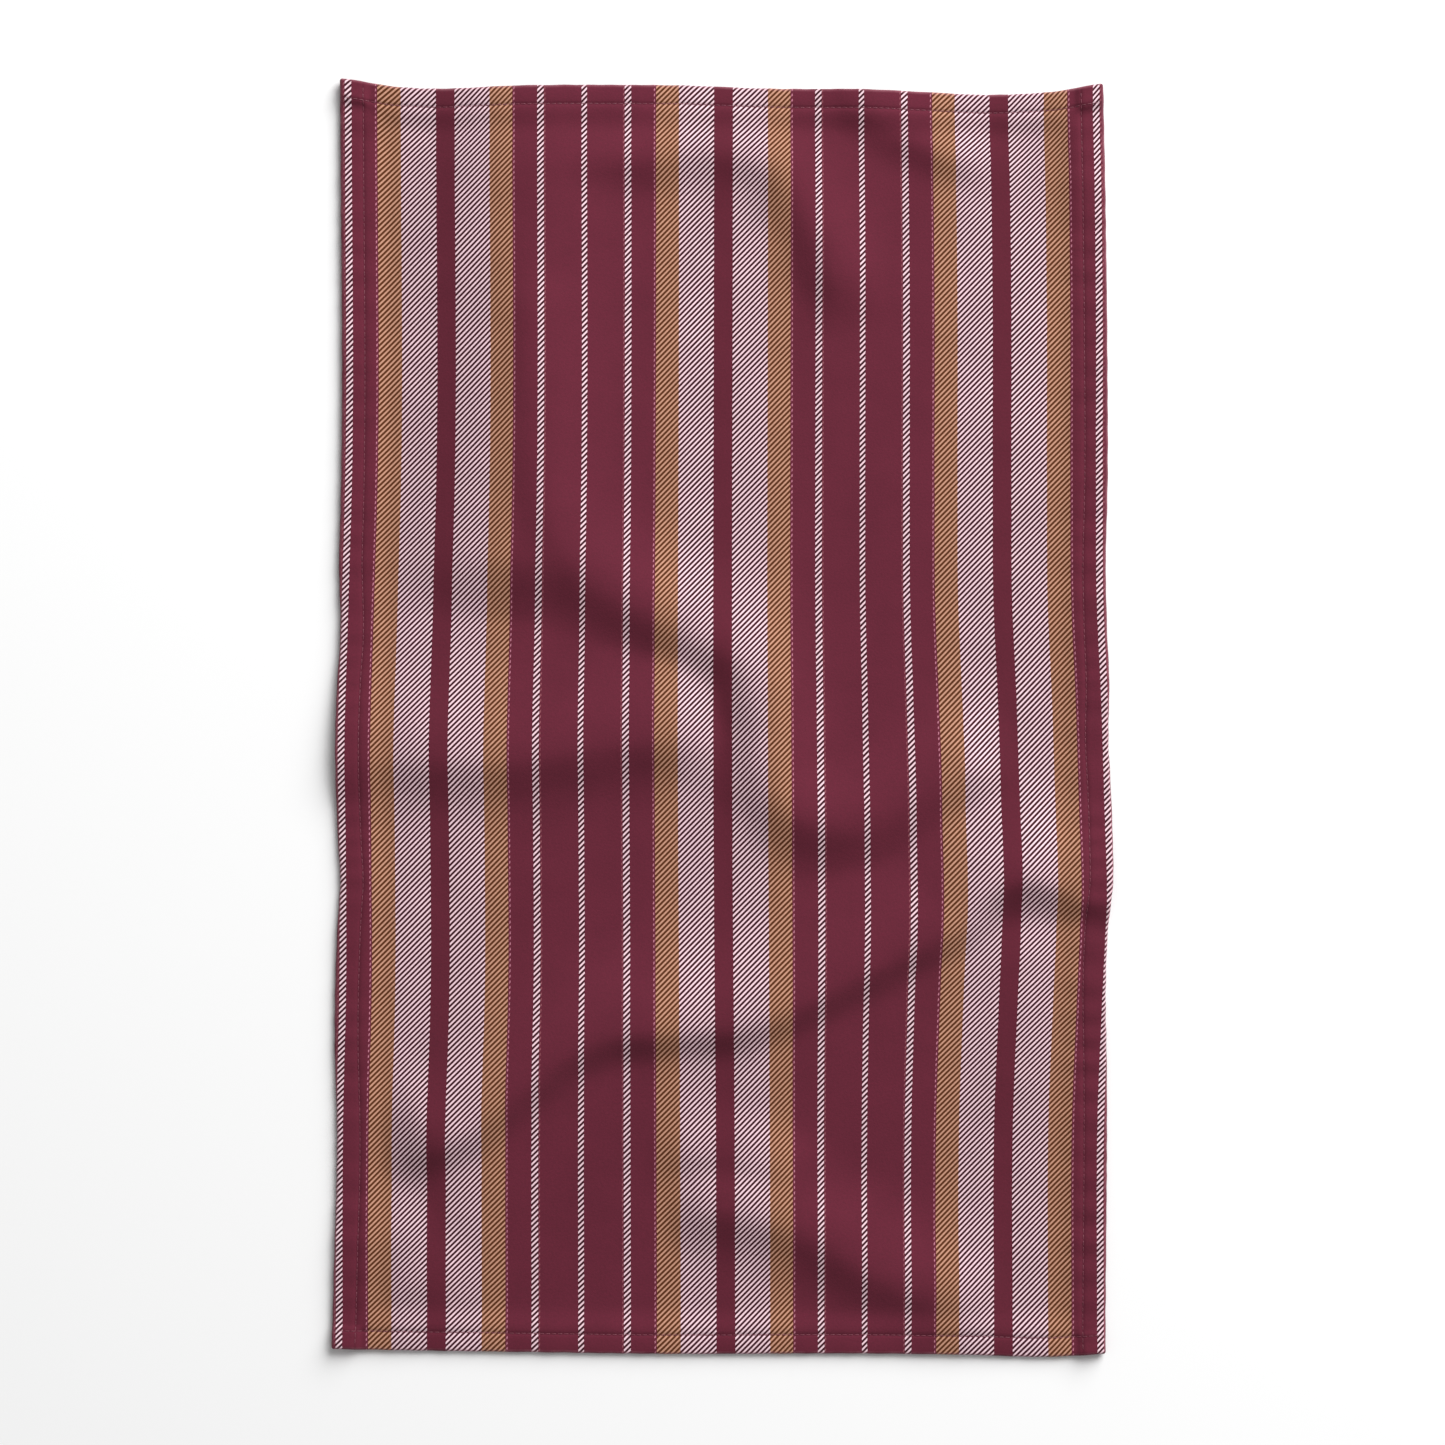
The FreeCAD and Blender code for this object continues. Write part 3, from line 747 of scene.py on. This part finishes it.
def floor_material():
    """A plain white studio floor."""
    nodes = Nodes("white_floor")
    nodes.shader.inputs["Base Color"].default_value = (0.93, 0.93, 0.93, 1)
    nodes.shader.inputs["Roughness"].default_value = 0.9
    nodes.shader.inputs["Specular IOR Level"].default_value = 0.1
    return nodes.material


# ---------------------------------------------------------------- stage

def make_floor():
    """A large plain floor just under the towel."""
    mesh = bpy.data.meshes.new("floor")
    reach = 6.0
    low = CAD_LOW[2] - 0.05 * MM
    corners = [(-reach, -reach, low), (reach, -reach, low), (reach, reach, low), (-reach, reach, low)]
    mesh.from_pydata(corners, [], [(0, 1, 2, 3)])
    floor = bpy.data.objects.new("floor", mesh)
    bpy.context.scene.collection.objects.link(floor)
    mesh.materials.append(floor_material())


def make_lamp(name, place, size, power):
    """A soft square lamp aimed at the middle of the towel."""
    light = bpy.data.lights.new(name, "AREA")
    light.size = size
    light.energy = power
    lamp = bpy.data.objects.new(name, light)
    lamp.location = place
    lamp.rotation_euler = (-Vector(place)).to_track_quat("-Z", "Y").to_euler()
    bpy.context.scene.collection.objects.link(lamp)
    return lamp


def make_lights():
    """A broad soft key from beyond the towel's top right corner, and an even fill from all round."""
    make_lamp("key", (2.0, 2.7, 2.2), 3.2, 284)
    world = bpy.data.worlds.new("studio")
    world.use_nodes = True
    world.node_tree.nodes["Background"].inputs["Color"].default_value = (1, 1, 1, 1)
    world.node_tree.nodes["Background"].inputs["Strength"].default_value = 0.32
    bpy.context.scene.world = world


def make_camera():
    """A long lens straight above the towel, with +Y up in the picture."""
    camera = bpy.data.cameras.new("camera")
    camera.lens = 100
    camera.sensor_width = 36
    view_width = 0.7167
    eye = bpy.data.objects.new("camera", camera)
    eye.location = (-0.0005, -0.0017, view_width * camera.lens / camera.sensor_width)
    bpy.context.scene.collection.objects.link(eye)
    bpy.context.scene.camera = eye


# ---------------------------------------------------------------- build

towel = make_cloth()
towel.data.materials.append(printed_cloth())
towel.data.materials.append(unprinted_cloth())
thicken(towel)
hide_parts("towel_panel", "hem_left", "hem_right", "hem_top", "hem_bottom")
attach(towel, "root")

thread = thread_material()
for side in ("left", "right", "top", "bottom"):
    for stitches in make_seam(side):
        stitches.data.materials.append(thread)
        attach(stitches, "root")

make_floor()
make_lights()
make_camera()
bpy.context.scene.view_settings.view_transform = "Standard"
